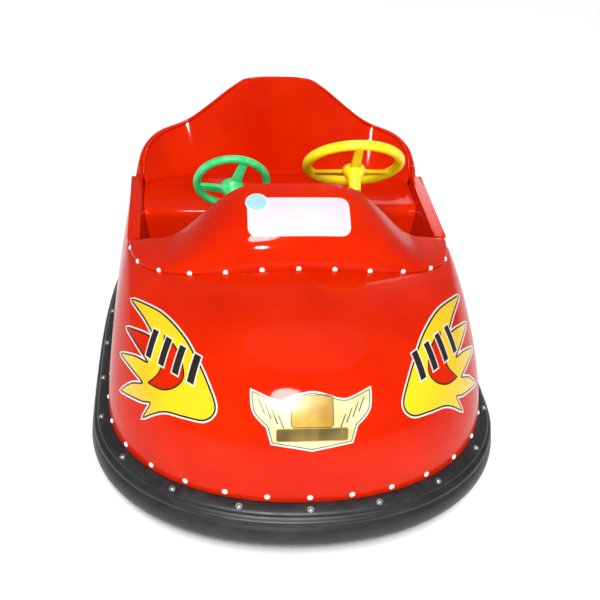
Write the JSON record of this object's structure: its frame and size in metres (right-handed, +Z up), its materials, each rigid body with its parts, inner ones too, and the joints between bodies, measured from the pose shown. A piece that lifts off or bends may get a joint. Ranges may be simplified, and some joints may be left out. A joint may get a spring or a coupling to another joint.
{
  "type": "two-seat fairground bumper car",
  "caption": "Two-seat battery bumper car: moulded body with arched seat back on a steel frame, all-round rubber bumper, steered drive wheel and two steering wheels.",
  "frame": {"origin": "on the floor under the middle of the rubber bumper", "axes": "-Y is the front of the car, +X is its left (driver's) side, +Z is up"},
  "size_m": [1.0136, 1.5636, 0.7926],
  "materials": {
    "gelcoat": "gloss gelcoat on moulded fibreglass",
    "bumper_rubber": "extruded black rubber, dull",
    "tyre_rubber": "solid rubber tyre",
    "yellow_plastic": "moulded yellow plastic",
    "green_plastic": "moulded green plastic",
    "black_steel": "black painted steel",
    "zinc_steel": "zinc-plated steel",
    "cast_alloy": "cast aluminium",
    "battery_case": "moulded battery case",
    "motor_paint": "grey painted casting",
    "pedal_rubber": "ribbed rubber pad"
  },
  "bodies": {
    "chassis": {"bumper_ring": "bumper_rubber", "bumper_mount_band": "black_steel", "lower_shell": "gelcoat", "cowl_shell": "gelcoat", "side_panel_left": "gelcoat", "side_panel_right": "gelcoat", "floor_pan": "black_steel", "front_bulkhead": "gelcoat", "dash_panel": "gelcoat", "bench_seat": "gelcoat", "seat_back": "gelcoat", "rear_cowl": "gelcoat", "battery_left": "battery_case", "battery_right": "battery_case", "accelerator_pedal": "pedal_rubber", "chassis_rail_left": "black_steel", "chassis_rail_right": "black_steel", "nose_cross_member": "black_steel", "front_cross_member": "black_steel", "mid_cross_member": "black_steel", "tail_cross_member": "black_steel", "rear_axle": "zinc_steel", "drive_mount": "black_steel", "steering_case": "motor_paint", "driver_column": "black_steel", "passenger_column": "black_steel"},
    "driver_steering": {"driver_wheel": "yellow_plastic", "driver_shaft": "zinc_steel"},
    "passenger_steering": {"passenger_wheel": "green_plastic", "passenger_shaft": "zinc_steel"},
    "drive_fork": {"drive_fork": "black_steel", "drive_axle": "zinc_steel", "drive_motor": "motor_paint"},
    "drive_wheel": {"drive_rim": "cast_alloy", "drive_tyre": "tyre_rubber"},
    "rear_left_wheel": {"rear_left_rim": "cast_alloy", "rear_left_tyre": "tyre_rubber"},
    "rear_right_wheel": {"rear_right_rim": "cast_alloy", "rear_right_tyre": "tyre_rubber"}
  },
  "joints": [
    {"name": "driver_steer", "type": "hinge", "parent": "chassis", "child": "driver_steering", "pos_m": [0.157, -0.05, 0.679], "axis": [0, 0.7431, 0.6691], "range_deg": [-180, 180]},
    {"name": "drive_swivel", "type": "hinge", "parent": "chassis", "child": "drive_fork", "pos_m": [0, -0.48, 0.25], "axis": [0, 0, 1], "range_deg": [-90, 90]},
    {"name": "drive_spin", "type": "hinge", "parent": "drive_fork", "child": "drive_wheel", "pos_m": [0, -0.48, 0.1], "axis": [1, 0, 0], "continuous": true},
    {"name": "rear_left_spin", "type": "hinge", "parent": "chassis", "child": "rear_left_wheel", "pos_m": [0.262, 0.46, 0.1], "axis": [1, 0, 0], "continuous": true},
    {"name": "rear_right_spin", "type": "hinge", "parent": "chassis", "child": "rear_right_wheel", "pos_m": [-0.262, 0.46, 0.1], "axis": [1, 0, 0], "continuous": true},
    {"name": "passenger_steer", "type": "hinge", "parent": "chassis", "child": "passenger_steering", "pos_m": [-0.15, -0.05, 0.631], "axis": [0, 0.9135, 0.4067], "continuous": true}
  ],
  "couplings": [
    {"joint": "drive_swivel", "follows": "driver_steer", "ratio": 0.5}
  ]
}
